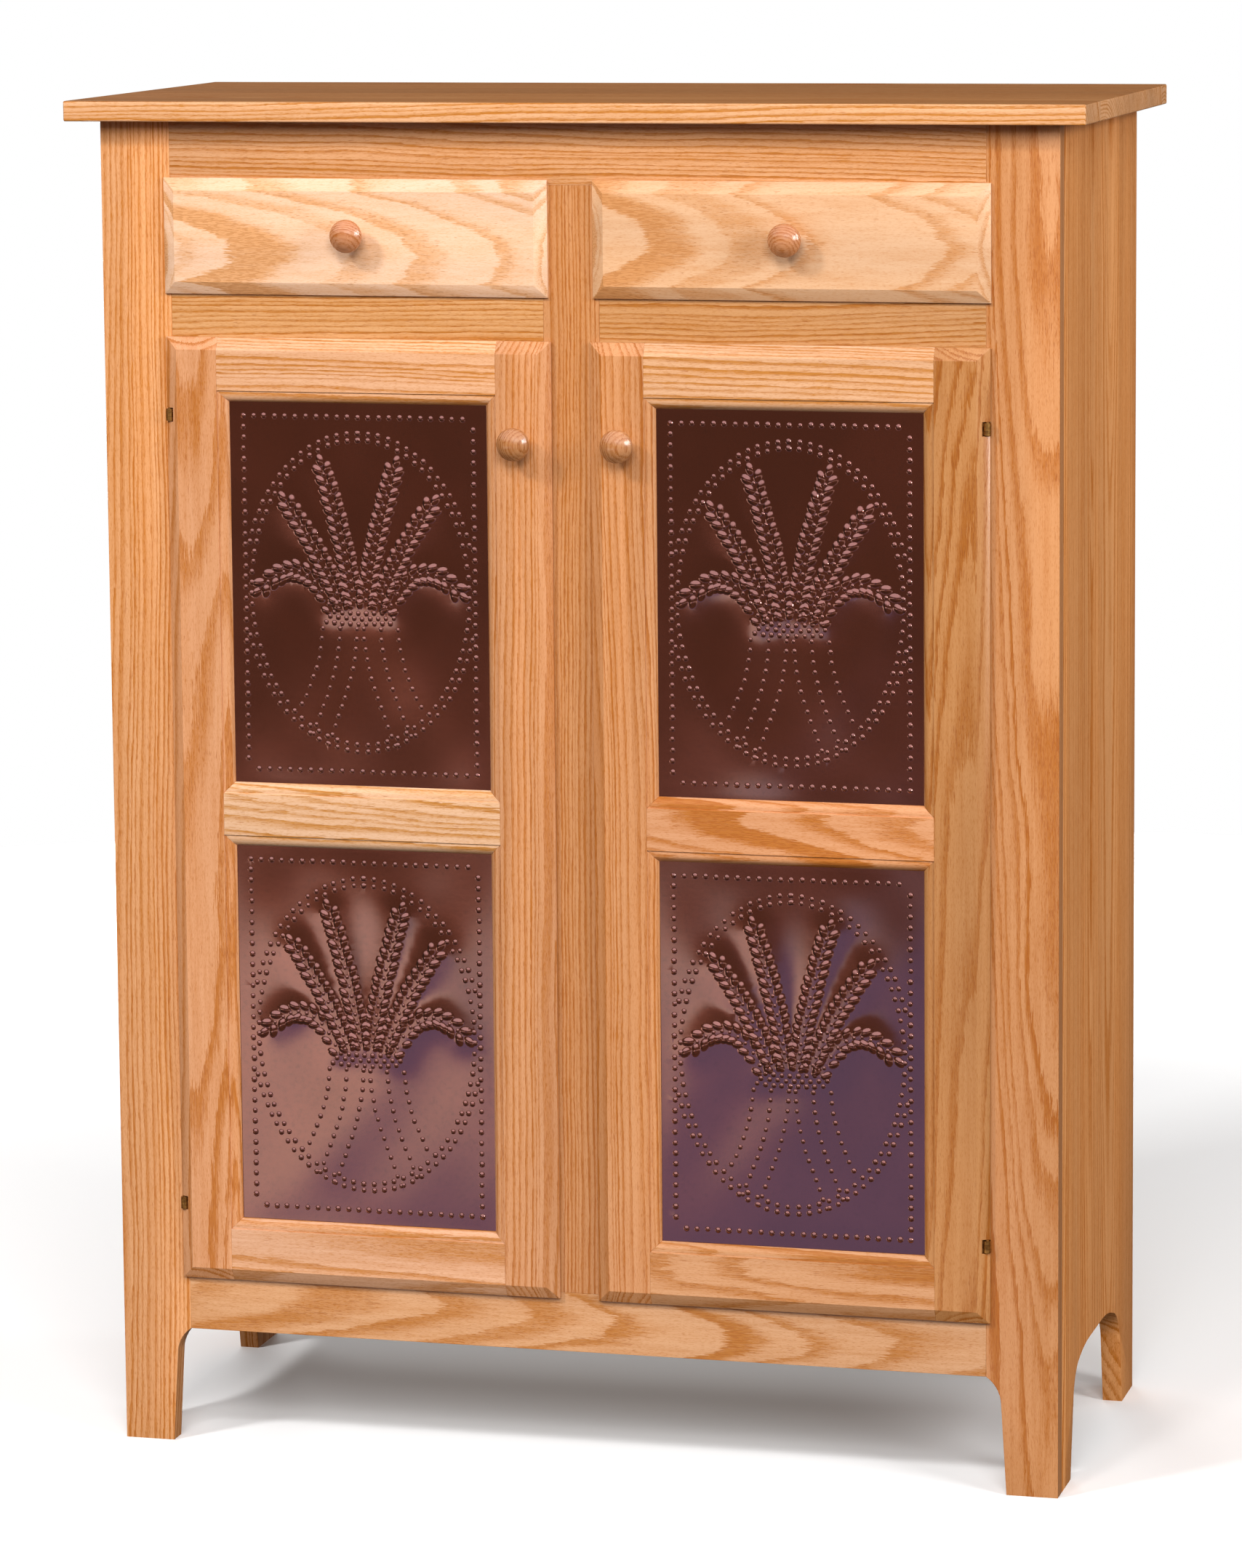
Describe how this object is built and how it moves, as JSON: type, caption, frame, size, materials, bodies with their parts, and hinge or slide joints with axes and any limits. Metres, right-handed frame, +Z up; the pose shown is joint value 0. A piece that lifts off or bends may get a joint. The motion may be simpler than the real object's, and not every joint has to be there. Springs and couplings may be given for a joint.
{
  "type": "pie safe",
  "caption": "Free-standing oak pie safe: a cupboard on cut-out feet with lipped drawers over framed doors that hold punched copper panels.",
  "frame": {"origin": "on the floor, in the middle of the overall box in width and depth", "axes": "+X to the right as seen from the front, -Y towards the person who opens it, +Z up"},
  "size_m": [0.914, 0.4254, 1.217],
  "materials": {
    "case_oak": "clear satin lacquer on honey-stained oak",
    "top_oak": "clear satin lacquer on honey-stained oak",
    "drawer_oak": "clear satin lacquer on honey-stained oak",
    "door_oak": "clear satin lacquer on honey-stained oak",
    "inner_wood": "plain sealed wood",
    "knob_oak": "gloss lacquer on turned oak",
    "copper": "aged copper sheet, satin",
    "brass": "polished brass",
    "steel": "zinc plated",
    "catch_plastic": "brown moulded case"
  },
  "bodies": {
    "case": {"top": "top_oak", "left_stile": "case_oak", "right_stile": "case_oak", "left_mid_rail": "case_oak", "right_mid_rail": "case_oak", "top_rail": "case_oak", "bottom_rail": "case_oak", "centre_stile": "case_oak", "left_side_panel": "case_oak", "right_side_panel": "case_oak", "case_bottom": "inner_wood", "lower_shelf": "inner_wood", "upper_shelf": "inner_wood", "back_boards": "inner_wood", "drawer_web_frame": "inner_wood", "drawer_guides": "inner_wood", "top_cleats": "inner_wood", "top_screws": "steel", "hinge_frame_leaves": "brass", "hinge_pins": "brass", "hinge_frame_screws": "brass", "door_catches": "catch_plastic"},
    "left_drawer": {"left_drawer_front": "drawer_oak", "left_drawer_inner_side": "inner_wood", "left_drawer_outer_side": "inner_wood", "left_drawer_back": "inner_wood", "left_drawer_bottom": "inner_wood", "left_drawer_knob": "knob_oak", "left_drawer_knob_screw": "steel"},
    "left_door": {"left_door_hinge_stile": "door_oak", "left_door_meeting_stile": "door_oak", "left_door_top_rail": "door_oak", "left_door_mid_rail": "door_oak", "left_door_bottom_rail": "door_oak", "left_door_upper_tin": "copper", "left_door_lower_tin": "copper", "left_door_tin_stops": "inner_wood", "left_door_knob": "knob_oak", "left_door_strike_plate": "steel", "left_door_screws": "brass", "left_hinge_door_leaves": "brass"},
    "right_drawer": {"right_drawer_front": "drawer_oak", "right_drawer_inner_side": "inner_wood", "right_drawer_outer_side": "inner_wood", "right_drawer_back": "inner_wood", "right_drawer_bottom": "inner_wood", "right_drawer_knob": "knob_oak", "right_drawer_knob_screw": "steel"},
    "right_door": {"right_door_hinge_stile": "door_oak", "right_door_meeting_stile": "door_oak", "right_door_top_rail": "door_oak", "right_door_mid_rail": "door_oak", "right_door_bottom_rail": "door_oak", "right_door_upper_tin": "copper", "right_door_lower_tin": "copper", "right_door_tin_stops": "inner_wood", "right_door_knob": "knob_oak", "right_door_strike_plate": "steel", "right_door_screws": "brass", "right_hinge_door_leaves": "brass"}
  },
  "joints": [
    {"name": "left_door_hinge", "type": "hinge", "parent": "case", "child": "left_door", "pos_m": [-0.3691, -0.1811, 0.58125], "axis": [0, 0, -1], "range_deg": [0, 165]},
    {"name": "right_door_hinge", "type": "hinge", "parent": "case", "child": "right_door", "pos_m": [0.3691, -0.1811, 0.58125], "axis": [0, 0, 1], "range_deg": [0, 165]},
    {"name": "left_drawer_slide", "type": "slide", "parent": "case", "child": "left_drawer", "axis": [0, -1, 0], "range_m": [0, 0.28]},
    {"name": "right_drawer_slide", "type": "slide", "parent": "case", "child": "right_drawer", "axis": [0, -1, 0], "range_m": [0, 0.28]}
  ]
}
